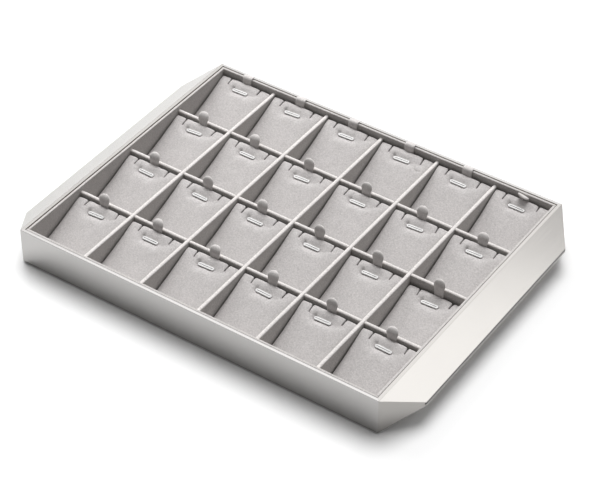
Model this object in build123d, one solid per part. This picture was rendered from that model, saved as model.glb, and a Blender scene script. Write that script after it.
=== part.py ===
from build123d import *

import math
import os

# Jewelry display tray, millimetres, +Z up. X runs along the front, Y from front to back.
# The origin is the centre of the underside, on the surface that the tray stands on.

# Compartments
COLUMNS = 6
ROWS = 4
CELL_WIDTH = 47.5
CELL_DEPTH = 57.75
DIVIDER_THICKNESS = 3.0
COLUMN_DIVIDER_DROP = 3.75
ROW_DIVIDER_DROP = 4.15
COLUMN_TOP_ROUND = 1.0
ROW_TOP_ROUND = 1.35
LAP_CLEARANCE = 0.1

# Liner
LINER_WALL = 2.0
LINER_WALL_DROP = 0.3
LINER_TOP_ROUND = 0.6
LINER_FLOOR = 0.6

# Case
CASE_HEIGHT = 30.5
RIM_GAP = 0.5
RIM_WIDTH = 2.5
SHEET = 0.8
SHEET_BEND = 0.5
SHEET_EASE = 0.3
FELT_THICKNESS = 0.6
FELT_INSET = 4.0
FELT_CORNER = 6.0
BASE_THICKNESS = 2.0

# Wings
WING_REACH = 20.0
WING_SETBACK = 29.0
LIP_TOP = 17.3
LIP_HEIGHT = 3.3

# Pads
PAD_SIDE_GAP = 0.4
PAD_FRONT_GAP = 0.4
PAD_BACK_GAP = 1.6
PAD_SEAT_GAP = 0.2
PAD_FRONT_THICKNESS = 2.3
PAD_BACK_DROP = 3.0
PAD_CROWN = 1.1
PAD_END_CROWN = 0.5
PAD_SIDE_DRAW = 0.5
PAD_EDGE_ROLL = 1.7
LOW_PADS = {(2, 5): 1.5, (2, 6): 4.5}
LAST_ROW_LIFT = 1.6

# Chain slits, cut into the back edge of each pad
SLIT_SPACING = 28.0
SLIT_WIDTH = 0.8
SLIT_LENGTH = 5.5
SLIT_DEPTH = 7.0
SLIT_MOUTH_WIDTH = 2.6
SLIT_MOUTH_LENGTH = 1.6

# Slot eyelets
EYELET_LENGTH = 13.8
EYELET_WIDTH = 4.0
EYELET_FLANGE = 0.7
EYELET_EDGE_ROUND = 0.3
EYELET_OFFSET = -1.0
EYELET_SETBACK = 9.0
SLOT_WIDTH = 1.4
BARREL_WALL = 0.35
BARREL_DEPTH = 3.0
POCKET_CLEARANCE = 0.15
POCKET_END_ROOM = 0.5
TUFT_DEPTH = 0.9
TUFT_SPREAD = 2.6

# Pull tabs
TAB_WIDTH = 9.5
TAB_TIP_ROUND = 4.65
TAB_THICKNESS = 1.0
TAB_STAND = 8.5
TAB_LEAN = 2.0
TAB_GLUED = 8.0
TAB_CLEARANCE = 0.3
TAB_RIM_MARGIN = 0.8
TAB_FOLD_LENGTH = 8.5
FOLDED_TAB = (4, 6)

# Worked out from the sizes above
column_pitch = CELL_WIDTH + DIVIDER_THICKNESS
row_pitch = CELL_DEPTH + DIVIDER_THICKNESS
inner_x = (COLUMNS * column_pitch - DIVIDER_THICKNESS) / 2
inner_y = (ROWS * row_pitch - DIVIDER_THICKNESS) / 2
liner_x = inner_x + LINER_WALL
liner_y = inner_y + LINER_WALL
rim_x = liner_x + RIM_GAP
rim_y = liner_y + RIM_GAP
case_x = rim_x + RIM_WIDTH
case_y = rim_y + RIM_WIDTH

base_bottom = FELT_THICKNESS
base_top = base_bottom + BASE_THICKNESS
liner_floor_top = base_top + LINER_FLOOR
flange_bottom = CASE_HEIGHT - SHEET
liner_top = CASE_HEIGHT - LINER_WALL_DROP
column_top = CASE_HEIGHT - COLUMN_DIVIDER_DROP
row_top = CASE_HEIGHT - ROW_DIVIDER_DROP
lap_height = (liner_floor_top + row_top) / 2

pad_bottom = liner_floor_top + PAD_SEAT_GAP
pad_half_width = CELL_WIDTH / 2 - PAD_SIDE_GAP
pad_front_y = PAD_FRONT_GAP
pad_back_y = CELL_DEPTH - PAD_BACK_GAP
pad_depth = pad_back_y - pad_front_y
pad_front_top = pad_bottom + PAD_FRONT_THICKNESS
pad_back_top = column_top - PAD_BACK_DROP
slot_length = EYELET_LENGTH - EYELET_WIDTH + SLOT_WIDTH


def block(x_span, y_span, z_span):
    """Box between a low and a high value on each axis."""
    size = [high - low for low, high in (x_span, y_span, z_span)]
    middle = [(high + low) / 2 for low, high in (x_span, y_span, z_span)]
    return Pos(*middle) * Box(*size)


def polygon_prism(points, z_span):
    """Upright prism on a closed outline of (x, y) points."""
    outline = make_face(Polyline(*points, close=True))
    return Pos(0, 0, z_span[0]) * extrude(outline, z_span[1] - z_span[0])


def stadium(length, width, low, high):
    """Upright prism with straight sides and round ends."""
    return Pos(0, 0, low) * extrude(SlotOverall(length, width), high - low)


def top_long_edges(shape, axis):
    """The highest edges that run along an axis."""
    return shape.edges().filter_by(axis).group_by(Axis.Z)[-1]


# Case


def panel(side):
    """Front (side -1) or back (side +1) sheet with its mitred rim flange."""
    skin_y = case_y - SHEET
    skin = block((-case_x, case_x), (skin_y, case_y), (base_bottom, flange_bottom))
    flange = polygon_prism(
        [(-case_x, case_y), (case_x, case_y), (rim_x, rim_y), (-rim_x, rim_y)],
        (flange_bottom, CASE_HEIGHT),
    )
    sheet = skin + flange
    bend = top_long_edges(sheet, Axis.X).sort_by(Axis.Y)[-1]
    sheet = fillet(bend, SHEET_BEND)
    hem = sheet.edges().filter_by(Axis.X).group_by(Axis.Z)[0].sort_by(Axis.Y)[-1]
    sheet = fillet(hem, SHEET_EASE)
    return sheet if side > 0 else mirror(sheet, Plane.XZ)


def wing_section(reach, inset):
    """Upright rectangle across the wing, reach out from the case, drawn in from the outer faces."""
    setback = WING_SETBACK / WING_REACH
    fall = (CASE_HEIGHT - LIP_TOP) / WING_REACH
    rise = (LIP_TOP - LIP_HEIGHT - base_bottom) / WING_REACH
    half_width = case_y - reach * setback - inset * math.hypot(1, setback)
    top = CASE_HEIGHT - reach * fall - inset * math.hypot(1, fall)
    bottom = base_bottom + reach * rise + inset * math.hypot(1, rise)
    outline = Rectangle(2 * half_width, top - bottom)
    return Plane.YZ.offset(case_x + reach) * Pos(0, (top + bottom) / 2) * outline


def wing_body(start, inset):
    """The tapered block between the case and the lip."""
    sections = [wing_section(start, inset), wing_section(WING_REACH - inset, inset)]
    return loft(sections, ruled=True)


def wing(side):
    """Folded sheet of one wing (side -1 left, +1 right): slope, lip, facets, underside, rim flange."""
    flange = polygon_prism(
        [(case_x, case_y), (case_x, -case_y), (rim_x, -rim_y), (rim_x, rim_y)],
        (flange_bottom, CASE_HEIGHT),
    )
    outer = wing_body(0, 0) + flange
    folds = [e for e in outer.edges() if e.center().X > case_x + SHEET]
    rim_fold = top_long_edges(outer, Axis.Y).sort_by(Axis.X)[-1]
    sheet = fillet([*folds, rim_fold], SHEET_BEND) - wing_body(0, SHEET)
    return sheet if side > 0 else mirror(sheet, Plane.YZ)


def wing_core(side):
    """Board core that fills one wing and carries its rim flange."""
    skin_y = case_y - SHEET
    web = block((rim_x, case_x), (-skin_y, skin_y), (base_top, flange_bottom))
    core = wing_body(0, SHEET) + web
    return core if side > 0 else mirror(core, Plane.YZ)


def edge_board(side):
    """Board behind the front (side -1) or back (side +1) panel, under the rim flange."""
    board = block((-rim_x, rim_x), (rim_y, case_y - SHEET), (base_top, flange_bottom))
    return board if side > 0 else mirror(board, Plane.XZ)


def base_board():
    """Flat board that the panels, cores and liner stand on."""
    skin_y = case_y - SHEET
    return block((-case_x, case_x), (-skin_y, skin_y), (base_bottom, base_top))


def base_felt():
    """Felt sheet under the base board."""
    outline = RectangleRounded(2 * (case_x - FELT_INSET), 2 * (case_y - FELT_INSET), FELT_CORNER)
    return extrude(outline, FELT_THICKNESS)


# Liner


def liner_walls():
    """Four wrapped boards: long ones at the front and back, short ones between them."""
    heights = (base_top, liner_top)
    long_wall = block((-liner_x, liner_x), (inner_y, liner_y), heights)
    short_wall = block((inner_x, liner_x), (-inner_y, inner_y), heights)
    long_wall = fillet(top_long_edges(long_wall, Axis.X), LINER_TOP_ROUND)
    short_wall = fillet(top_long_edges(short_wall, Axis.Y), LINER_TOP_ROUND)
    return [
        long_wall,
        mirror(long_wall, Plane.XZ),
        short_wall,
        mirror(short_wall, Plane.YZ),
    ]


def liner_floor():
    """Wrapped card that the pads and dividers stand on."""
    return block((-inner_x, inner_x), (-inner_y, inner_y), (base_top, liner_floor_top))


def divider_places(count, pitch):
    """Centres of the dividers that split one direction into count compartments."""
    return [pitch * (i - count / 2) for i in range(1, count)]


def column_divider(x):
    """Board from front to back, notched from below over each row divider."""
    half = DIVIDER_THICKNESS / 2
    board = block((x - half, x + half), (-inner_y, inner_y), (liner_floor_top, column_top))
    board = fillet(top_long_edges(board, Axis.Y), COLUMN_TOP_ROUND)
    slot = half + LAP_CLEARANCE
    for y in divider_places(ROWS, row_pitch):
        board -= block((x - slot, x + slot), (y - slot, y + slot), (0, lap_height + LAP_CLEARANCE))
    return board


def row_divider(y):
    """Board from left to right, notched from above under each column divider."""
    half = DIVIDER_THICKNESS / 2
    board = block((-inner_x, inner_x), (y - half, y + half), (liner_floor_top, row_top))
    board = fillet(top_long_edges(board, Axis.X), ROW_TOP_ROUND)
    slot = half + LAP_CLEARANCE
    for x in divider_places(COLUMNS, column_pitch):
        board -= block((x - slot, x + slot), (y - slot, y + slot), (lap_height, CASE_HEIGHT))
    return board


# Compartment pieces, each drawn in its own compartment: x from its middle, y from its front


def pad_section(y, top, half_width, crown):
    """Upright section across a pad: flat below, arched above."""
    arch = ThreePointArc((-half_width, 0), (0, crown), (half_width, 0))
    depth = pad_bottom - top
    sides = Polyline((-half_width, 0), (-half_width, depth), (half_width, depth), (half_width, 0))
    return Plane.XZ.offset(-y) * Pos(0, top) * make_face([*arch.edges(), *sides.edges()])


def face_plane(height):
    """Plane of the eyelet's seat, below the crown of the sloping face. Its x runs along X."""
    slope = (height - pad_front_top) / pad_depth
    tilt = math.atan(slope)
    y = pad_back_y - EYELET_SETBACK * math.cos(tilt)
    crown = PAD_END_CROWN + (PAD_CROWN - PAD_END_CROWN) * (pad_back_y - y) / pad_depth * 2
    z = pad_front_top + slope * (y - pad_front_y) + crown
    normal = Vector(0, -math.sin(tilt), math.cos(tilt))
    return Plane(Vector(EYELET_OFFSET, y, z) - normal * TUFT_DEPTH, (1, 0, 0), normal)


def slit(side, height):
    """Cutter for one chain slit, with a mouth that opens towards the back edge."""
    half, mouth = SLIT_WIDTH / 2, SLIT_MOUTH_WIDTH / 2
    end_y, neck_y = pad_back_y - SLIT_LENGTH, pad_back_y - SLIT_MOUTH_LENGTH
    beyond = pad_back_y + PAD_BACK_GAP
    points = [(-half, end_y), (half, end_y), (half, neck_y), (mouth, pad_back_y), (mouth, beyond)]
    points += [(-mouth, beyond), (-mouth, pad_back_y), (-half, neck_y)]
    cutter = polygon_prism(points, (height - SLIT_DEPTH, CASE_HEIGHT))
    return Pos(side * SLIT_SPACING / 2, 0, 0) * cutter


def tuft():
    """Cutter for the dip around the eyelet and the pocket for its barrel, on the seat plane."""
    wide = TUFT_SPREAD * 2
    above = TUFT_DEPTH * 2
    dip_foot = SlotOverall(EYELET_LENGTH + 2 * POCKET_CLEARANCE, EYELET_WIDTH + 2 * POCKET_CLEARANCE)
    dip_mouth = SlotOverall(EYELET_LENGTH + 2 * wide, EYELET_WIDTH + 2 * wide)
    dip = loft([dip_foot, Pos(0, 0, above) * dip_mouth], ruled=True)
    around = BARREL_WALL + POCKET_CLEARANCE
    pocket = stadium(
        slot_length + 2 * around,
        SLOT_WIDTH + 2 * around,
        -BARREL_DEPTH - POCKET_END_ROOM,
        TUFT_DEPTH,
    )
    return dip + pocket


def pad_body(height):
    """Foam wedge with a crown, drawn-in sides and rolled edges, two slits and the eyelet's tuft."""
    middle_top = (pad_front_top + height) / 2
    body = loft(
        [
            pad_section(pad_front_y, pad_front_top, pad_half_width, PAD_END_CROWN),
            pad_section(
                (pad_front_y + pad_back_y) / 2,
                middle_top,
                pad_half_width - PAD_SIDE_DRAW,
                PAD_CROWN,
            ),
            pad_section(pad_back_y, height, pad_half_width, PAD_END_CROWN),
        ]
    )
    upper = pad_bottom + PAD_FRONT_THICKNESS / 2
    rim = [e for e in body.edges() if min(v.Z for v in e.vertices()) > upper]
    body = fillet(rim, min(PAD_EDGE_ROLL, PAD_FRONT_THICKNESS * 0.8))
    for side in (-1, 1):
        body -= slit(side, height)
    return body - face_plane(height) * tuft()


def eyelet(height):
    """Oblong grommet: a flange on the seat, a barrel down into the pad and a slot through both."""
    flange = stadium(EYELET_LENGTH, EYELET_WIDTH, 0, EYELET_FLANGE)
    flange = fillet(flange.edges().group_by(Axis.Z)[-1], EYELET_EDGE_ROUND)
    barrel = stadium(slot_length + 2 * BARREL_WALL, SLOT_WIDTH + 2 * BARREL_WALL, -BARREL_DEPTH, 0)
    slot = stadium(slot_length, SLOT_WIDTH, -2 * BARREL_DEPTH, 2 * EYELET_FLANGE)
    return face_plane(height) * (flange + barrel - slot)


def band(points, thickness):
    """Strip of even thickness along (y, z) points, one side of the line, mitred at its corners."""
    path = [Vector(*p) for p in points]
    runs = [(b - a).normalized() for a, b in zip(path, path[1:])]
    sides = [Vector(-run.Y, run.X) for run in runs]
    outline = [path[0] + sides[0] * thickness]
    for point, before, after in zip(path[1:-1], sides, sides[1:]):
        outline.append(point + (before + after) * (thickness / (1 + before.dot(after))))
    outline.append(path[-1] + sides[-1] * thickness)
    return make_face(Polyline(*path, *reversed(outline), close=True))


def strip(points):
    """Pull tab: a band one tab wide along (y, z) points, round at its far end."""
    face = Plane.YZ * band(points, TAB_THICKNESS)
    tab = extrude(face, TAB_WIDTH / 2, both=True)
    tip = Vector(0, *points[-1])
    reach = TAB_WIDTH / 2 + TAB_THICKNESS
    short = [e for e in tab.edges() if math.isclose(e.length, TAB_THICKNESS, rel_tol=1e-6)]
    corners = [e for e in short if (e.center() - tip).length < reach]
    return fillet(corners, min(TAB_TIP_ROUND, TAB_WIDTH * 0.49))


def tab_start(height):
    """Foot of a tab, on the back face of its pad below the rolled edge."""
    return (pad_back_y + TAB_THICKNESS, height - PAD_EDGE_ROLL - TAB_GLUED)


def standing_tab(height):
    """Tab that stands above the divider behind it and leans a little over its top."""
    foot = tab_start(height)
    bend = (foot[0], row_top + TAB_CLEARANCE)
    return strip([foot, bend, (foot[0] + TAB_LEAN, row_top + TAB_STAND)])


def rim_tab(height):
    """Tab of the last row, folded back over the liner wall and onto the rim."""
    foot = tab_start(height)
    depth_to_rim = CELL_DEPTH + case_y - inner_y - TAB_RIM_MARGIN
    over = CASE_HEIGHT + TAB_CLEARANCE
    return strip([foot, (foot[0], over), (depth_to_rim, over)])


def folded_tab(height):
    """Tab that is folded forward, over its own pad."""
    tilt = math.atan((height - pad_front_top) / pad_depth)
    foot = tab_start(height)
    top = (foot[0], height + PAD_CROWN + TAB_CLEARANCE + 2 * TAB_THICKNESS)
    end = (top[0] - TAB_FOLD_LENGTH * math.cos(tilt), top[1] - TAB_FOLD_LENGTH * math.sin(tilt))
    return strip([foot, top, end])


def tab(row, column, height):
    """The pull tab of one compartment, as it lies in use."""
    if (row, column) == FOLDED_TAB:
        return folded_tab(height)
    return rim_tab(height) if row == ROWS else standing_tab(height)


def back_top(row, column):
    """Height of a pad's back edge. The last row's pads sit higher, and the low ones lower."""
    lift = LAST_ROW_LIFT if row == ROWS else 0
    return pad_back_top + lift - LOW_PADS.get((row, column), 0)


def compartment(row, column):
    """Place of a compartment's own frame in the tray, rows from the front, columns from the left."""
    x = column_pitch * (column - (COLUMNS + 1) / 2)
    return Pos(x, -inner_y + row_pitch * (row - 1), 0)


# Build


def write(name, solids):
    """One STEP file for one named piece or one group of like pieces."""
    shape = Compound(children=[s for item in solids for s in item.solids()])
    export_step(shape, f"parts/{name}.step")


os.makedirs("parts", exist_ok=True)

write("base_felt", [base_felt()])
write("base_board", [base_board()])
write("front_panel", [panel(-1)])
write("back_panel", [panel(1)])
write("left_wing", [wing(-1)])
write("right_wing", [wing(1)])
write("wing_cores", [wing_core(-1), wing_core(1)])
write("edge_boards", [edge_board(-1), edge_board(1)])
write("liner_floor", [liner_floor()])
write("liner_walls", liner_walls())
write("column_dividers", [column_divider(x) for x in divider_places(COLUMNS, column_pitch)])
write("row_dividers", [row_divider(y) for y in divider_places(ROWS, row_pitch)])

places = [(row, column) for row in range(1, ROWS + 1) for column in range(1, COLUMNS + 1)]
heights = {back_top(*place) for place in places}
pads = {height: pad_body(height) for height in heights}
eyelets = {height: eyelet(height) for height in heights}
for row, column in places:
    height = back_top(row, column)
    spot = compartment(row, column)
    write(f"pad_row{row}_col{column}", [spot * pads[height], spot * tab(row, column, height)])
    write(f"eyelet_row{row}_col{column}", [spot * eyelets[height]])
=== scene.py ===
"""Looks of a jewelry display tray, built around its fixed frame. Metres, +Z up."""

import logging
import math
from dataclasses import dataclass, field
from enum import Enum
from typing import Dict, List, Mapping, Optional, Sequence, Tuple, Union

import bpy
import numpy as np
from mathutils import Matrix, Vector


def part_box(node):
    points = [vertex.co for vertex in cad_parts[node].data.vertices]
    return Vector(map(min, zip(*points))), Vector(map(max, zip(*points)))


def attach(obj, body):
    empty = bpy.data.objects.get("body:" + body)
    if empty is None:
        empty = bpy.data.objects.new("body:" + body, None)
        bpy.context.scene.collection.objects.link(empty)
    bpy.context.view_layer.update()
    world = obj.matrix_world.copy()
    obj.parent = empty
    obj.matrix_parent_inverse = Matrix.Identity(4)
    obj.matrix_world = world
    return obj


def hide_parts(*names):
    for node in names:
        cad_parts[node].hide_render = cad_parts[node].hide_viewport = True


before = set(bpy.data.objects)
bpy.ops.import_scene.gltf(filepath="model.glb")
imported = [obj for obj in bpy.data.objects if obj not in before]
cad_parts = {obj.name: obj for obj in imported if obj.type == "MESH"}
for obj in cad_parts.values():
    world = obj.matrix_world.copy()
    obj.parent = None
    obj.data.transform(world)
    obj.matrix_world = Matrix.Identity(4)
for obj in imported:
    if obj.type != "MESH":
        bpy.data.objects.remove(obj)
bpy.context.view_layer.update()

LOG = logging.getLogger("tray")
MM = 0.001
WHITE = (1.0, 1.0, 1.0)

Triple = Tuple[float, float, float]
Colour = Triple
Point = Tuple[float, float]
Term = Union[float, "Wire"]
Faces = List[Sequence[int]]
Array = np.ndarray
Piece = bpy.types.Object
Material = bpy.types.Material


# Shader building


@dataclass(frozen=True)
class Spots:
    """Random spots of a size in metres, with finer layers of a strength."""

    size: float
    detail: float = 2.0
    rough: float = 0.5


class Wire:
    """An output socket whose arithmetic adds Math nodes to its tree."""

    def __init__(self, shader: "Shader", socket: bpy.types.NodeSocket) -> None:
        """Keep the tree that new nodes go to and the socket that this wire starts from."""
        self.shader = shader
        self.socket = socket

    def _math(self, operation: str, first: Term, second: Term) -> "Wire":
        """Wire that leaves a new Math node on two values."""
        return self.shader.node("ShaderNodeMath", {"operation": operation}, {0: first, 1: second})

    def __add__(self, other: Term) -> "Wire":
        """Sum."""
        return self._math("ADD", self, other)

    def __sub__(self, other: Term) -> "Wire":
        """Difference."""
        return self._math("SUBTRACT", self, other)

    def __rsub__(self, other: Term) -> "Wire":
        """Difference, with the number first."""
        return self._math("SUBTRACT", other, self)

    def __mul__(self, other: Term) -> "Wire":
        """Product."""
        return self._math("MULTIPLY", self, other)

    __radd__, __rmul__ = __add__, __mul__

    def highest(self, other: Term) -> "Wire":
        """The larger of two values."""
        return self._math("MAXIMUM", self, other)

    def output(self, name: str) -> "Wire":
        """Another output of the node that this wire leaves."""
        return Wire(self.shader, self.socket.node.outputs[name])


class Shader:
    """A node tree, of a material or of the world, that starts empty."""

    def __init__(self, owner: Union[Material, bpy.types.World]) -> None:
        """Empty the owner's tree.

        Args:
            owner: The material or world whose tree is built.
        """
        owner.use_nodes = True
        self.tree = owner.node_tree
        self.tree.nodes.clear()

    def node(
        self,
        kind: str,
        settings: Optional[Mapping[str, object]] = None,
        inputs: Optional[Mapping[Union[int, str], object]] = None,
    ) -> Wire:
        """Add a node of any type.

        Args:
            kind: The node's type.
            settings: Its properties, which are set first.
            inputs: A value or a wire for each of its sockets, by name or number.

        Returns:
            A wire from the node's first output.
        """
        made = self.tree.nodes.new(kind)
        for name, value in (settings or {}).items():
            setattr(made, name, value)
        for key, value in (inputs or {}).items():
            if isinstance(value, Wire):
                self.tree.links.new(value.socket, made.inputs[key])
            else:
                made.inputs[key].default_value = value
        return Wire(self, made.outputs[0]) if made.outputs else Wire(self, made.inputs[0])

    def place(self, stretch: Triple = (1.0, 1.0, 1.0)) -> Wire:
        """Position on the piece at rest, stretched along each axis."""
        where = self.node("ShaderNodeTexCoord").output("Object")
        return self.node("ShaderNodeVectorMath", {"operation": "MULTIPLY"}, {0: where, 1: stretch})

    def split(self, vector: Wire, axis: str) -> Wire:
        """The X, Y or Z component of a vector."""
        return self.node("ShaderNodeSeparateXYZ", {}, {0: vector}).output(axis)

    def noise(self, where: Wire, spots: Spots) -> Wire:
        """Random value of about 0.5.

        Args:
            where: Place in the piece's own frame.
            spots: Size of the spots.

        Returns:
            Wire with the value.
        """
        inputs = {"Vector": where, "Scale": 1.0 / spots.size}
        inputs |= {"Detail": spots.detail, "Roughness": spots.rough}
        return self.node("ShaderNodeTexNoise", {"noise_dimensions": "3D"}, inputs)

    def blend(self, factor: Term, first: object, second: object) -> Wire:
        """Colour between two colours.

        Args:
            factor: 0 for the first, 1 for the second.
            first: Colour or wire.
            second: Colour or wire.

        Returns:
            The mixed colour.
        """
        settings = {"data_type": "RGBA", "clamp_factor": True}
        mixed = self.node("ShaderNodeMix", settings, {0: factor, 6: first, 7: second})
        return Wire(self, mixed.socket.node.outputs[2])

    def tones(self, factor: Term, colour: Colour, spread: float, shade: float = 1.0) -> Wire:
        """Tone of a shaded colour, from darker where the factor is 0 to lighter where it is 1."""
        dark, light = rgba(colour, (1.0 - spread) * shade), rgba(colour, (1.0 + spread) * shade)
        return self.blend(factor, dark, light)

    def step(self, value: Wire, edge: float, soft: float) -> Wire:
        """Rise from 0 to 1 across an edge, over twice the softness."""
        sockets = {"Value": value, "From Min": edge - soft, "From Max": edge + soft}
        return self.node("ShaderNodeMapRange", {"clamp": True}, sockets).output("Result")

    def bump(self, height: Wire, distance: float) -> Wire:
        """Normal of a surface whose relief from 0 to 1 is as deep as the distance in metres."""
        return self.node("ShaderNodeBump", {}, {"Height": height, "Distance": distance})

    def seen(self) -> Wire:
        """Whether the camera sees this, directly, mirrored or through glass.

        Returns:
            Wire with 1 where it does and 0 elsewhere.
        """
        path = self.node("ShaderNodeLightPath")
        mirrored = path.output("Is Glossy Ray").highest(path.output("Is Transmission Ray"))
        return path.output("Is Camera Ray").highest(mirrored)


def rgba(colour: Colour, factor: float = 1.0) -> Tuple[float, float, float, float]:
    """Colour with an alpha of 1, made lighter or darker by a factor."""
    red, green, blue = colour
    return (red * factor, green * factor, blue * factor, 1.0)


# Finishes


class Finish:
    """A finish, which makes one material."""

    def sockets(self, shader: Shader) -> Dict[str, object]:
        """Value or wire for each socket of the surface that the finish sets.

        Args:
            shader: Shader of the material.

        Returns:
            Values and wires by the socket's name.
        """
        raise NotImplementedError

    def material(self, name: str) -> Material:
        """Make the finish's material.

        Args:
            name: The material's name.

        Returns:
            The material.
        """
        made = bpy.data.materials.new(name)
        shader = Shader(made)
        skin = shader.node("ShaderNodeBsdfPrincipled", {}, self.sockets(shader))
        shader.node("ShaderNodeOutputMaterial", {}, {"Surface": skin})
        return made


@dataclass(frozen=True)
class Microfibre(Finish):
    """Suede-like cloth with a short nap, rubbed a little lighter and darker in patches.

    Upright faces get painted shade: they take a darker copy of the colour, by the upright factor,
    so that they look darker than level ones.
    """

    colour: Colour
    # Share of the colour that upright faces keep, as painted shade.
    upright: float = 1.0
    facing_gain: float = 1.6
    facing_loss: float = 0.1
    patch: Spots = Spots(9.0 * MM, rough=0.55)
    patch_contrast: float = 0.25
    mottle: Spots = Spots(1.2 * MM, detail=3.0, rough=0.6)
    mottle_contrast: float = 1.5
    grain: Spots = Spots(0.55 * MM, rough=0.6)
    grain_contrast: float = 1.3
    tone_spread: float = 0.23
    nap_height: float = 0.16 * MM
    mottle_relief: float = 0.55
    roughness: float = 0.92
    gloss: float = 0.25
    sheen: float = 0.18
    sheen_roughness: float = 0.45
    sheen_tint: Colour = (0.96, 0.94, 0.92)

    def sockets(self, shader: Shader) -> Dict[str, object]:
        """Cloth in tones of three sizes of spots, with painted shade where its face is upright.

        Args:
            shader: Shader of the material.

        Returns:
            Values and wires by the socket's name.
        """
        where = shader.place()
        patches = shader.noise(where, self.patch)
        mottles = shader.noise(where, self.mottle)
        grains = shader.noise(where, self.grain)
        tone = (
            0.5
            + (patches - 0.5) * self.patch_contrast
            + (mottles - 0.5) * self.mottle_contrast
            + (grains - 0.5) * self.grain_contrast
        )
        colour = shader.tones(tone, self.colour, self.tone_spread)
        # Painted shade: upright faces take a darker copy of the colour, blended in by how level
        # the face is.
        if self.upright < 1.0:
            level = shader.split(shader.node("ShaderNodeTexCoord").output("Normal"), "Z")
            facing = level * self.facing_gain - self.facing_loss
            shaded_upright = shader.tones(tone, self.colour, self.tone_spread, self.upright)
            colour = shader.blend(facing, shaded_upright, colour)
        relief = mottles * self.mottle_relief + grains * (1.0 - self.mottle_relief)
        return {
            "Base Color": colour,
            "Roughness": self.roughness,
            "Specular IOR Level": self.gloss,
            "Sheen Weight": self.sheen,
            "Sheen Roughness": self.sheen_roughness,
            "Sheen Tint": rgba(self.sheen_tint),
            "Normal": shader.bump(relief, self.nap_height),
        }


class Brushing(Enum):
    """Direction that a sheet's fine scratches run in."""

    ALONG_X = (0.012, 1.0, 1.0)
    ALONG_Y = (1.0, 0.012, 1.0)


@dataclass(frozen=True)
class LipShade:
    """Painted dark reflection: a dark band along a wing's lip, below the slope's bend."""

    reach: float
    low: float
    high: float
    soft: float = 0.12 * MM
    soft_aside: float = 0.3 * MM
    shade: float = 0.06

    def mask(self, shader: Shader) -> Wire:
        """1 on the painted dark band and 0 elsewhere.

        Args:
            shader: The sheet's shader.

        Returns:
            The mask.
        """
        place = shader.node("ShaderNodeTexCoord").output("Object")
        aside, height = shader.split(place, "X"), shader.split(place, "Z")
        beyond = shader.step(aside * aside, self.reach**2, self.soft_aside * self.reach)
        above = shader.step(height, self.low, self.soft)
        return beyond * above * (1.0 - shader.step(height, self.high, self.soft))


@dataclass(frozen=True)
class BrushedSteel(Finish):
    """Satin sheet steel with faint scratches that run one way."""

    colour: Colour
    brushing: Brushing
    lip_shade: Optional[LipShade] = None
    tone_spread: float = 0.025
    tone_contrast: float = 1.2
    roughness: float = 0.18
    roughness_range: float = 0.08
    scratch: Spots = Spots(0.45 * MM, detail=4.0, rough=0.65)
    scratch_depth: float = 0.006 * MM
    smudge: Spots = Spots(45.0 * MM)
    smudge_range: float = 0.06

    def sockets(self, shader: Shader) -> Dict[str, object]:
        """Steel whose tone and gloss follow its scratches, with its painted dark lip band if it
        has one.

        Args:
            shader: Shader of the material.

        Returns:
            Values and wires by the socket's name.
        """
        scratches = shader.noise(shader.place(self.brushing.value), self.scratch)
        smudges = shader.noise(shader.place(), self.smudge)
        change = (scratches - 0.5) * self.roughness_range + (smudges - 0.5) * self.smudge_range
        tone = 0.5 + (scratches - 0.5) * self.tone_contrast
        colour = shader.tones(tone, self.colour, self.tone_spread)
        # Painted dark reflection: the steel's colour turns dark on the band along the lip.
        if self.lip_shade is not None:
            shaded = rgba(self.colour, self.lip_shade.shade)
            colour = shader.blend(self.lip_shade.mask(shader), colour, shaded)
        return {
            "Base Color": colour,
            "Metallic": 1.0,
            "Roughness": self.roughness + change,
            "Normal": shader.bump(scratches, self.scratch_depth),
        }


@dataclass(frozen=True)
class PolishedSteel(Finish):
    """Bright plated metal with faint handling marks."""

    colour: Colour
    tone_spread: float = 0.04
    roughness: float = 0.28
    roughness_range: float = 0.1
    mark: Spots = Spots(1.6 * MM, detail=3.0, rough=0.6)
    mark_depth: float = 0.01 * MM

    def sockets(self, shader: Shader) -> Dict[str, object]:
        """Plating whose tone and gloss follow its marks.

        Args:
            shader: Shader of the material.

        Returns:
            Values and wires by the socket's name.
        """
        marks = shader.noise(shader.place(), self.mark)
        return {
            "Base Color": shader.tones(marks, self.colour, self.tone_spread),
            "Metallic": 1.0,
            "Roughness": self.roughness + (marks - 0.5) * self.roughness_range,
            "Normal": shader.bump(marks, self.mark_depth),
        }


@dataclass(frozen=True)
class Fibrous(Finish):
    """Pressed fibre: the felt under the tray, or the board inside it."""

    colour: Colour
    fibre: float
    relief: float
    tone_spread: float = 0.18
    tuft: float = 6.0
    tuft_share: float = 0.25
    roughness: float = 0.9
    gloss: float = 0.2

    def sockets(self, shader: Shader) -> Dict[str, object]:
        """Fibres in tones, gathered in tufts several fibres wide.

        Args:
            shader: Shader of the material.

        Returns:
            Values and wires by the socket's name.
        """
        where = shader.place()
        tufts = shader.noise(where, Spots(self.fibre * self.tuft))
        fibres = shader.noise(where, Spots(self.fibre, detail=4.0, rough=0.7))
        tone = fibres * (1.0 - self.tuft_share) + tufts * self.tuft_share
        return {
            "Base Color": shader.tones(tone, self.colour, self.tone_spread),
            "Roughness": self.roughness,
            "Specular IOR Level": self.gloss,
            "Normal": shader.bump(fibres, self.relief),
        }


# Mesh helpers


def smoothstep(value: Array) -> Array:
    """Soft step from 0 to 1."""
    share = np.clip(value, 0.0, 1.0)
    return share * share * (3.0 - 2.0 * share)


def signed_power(value: Array, power: float) -> Array:
    """Power of a value's size, with the value's sign."""
    return np.sign(value) * np.abs(value) ** power


def bell(distance: Array, width: float) -> Array:
    """Bell curve of a distance, 1 at its middle."""
    return np.exp(-((distance / width) ** 2))


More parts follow.
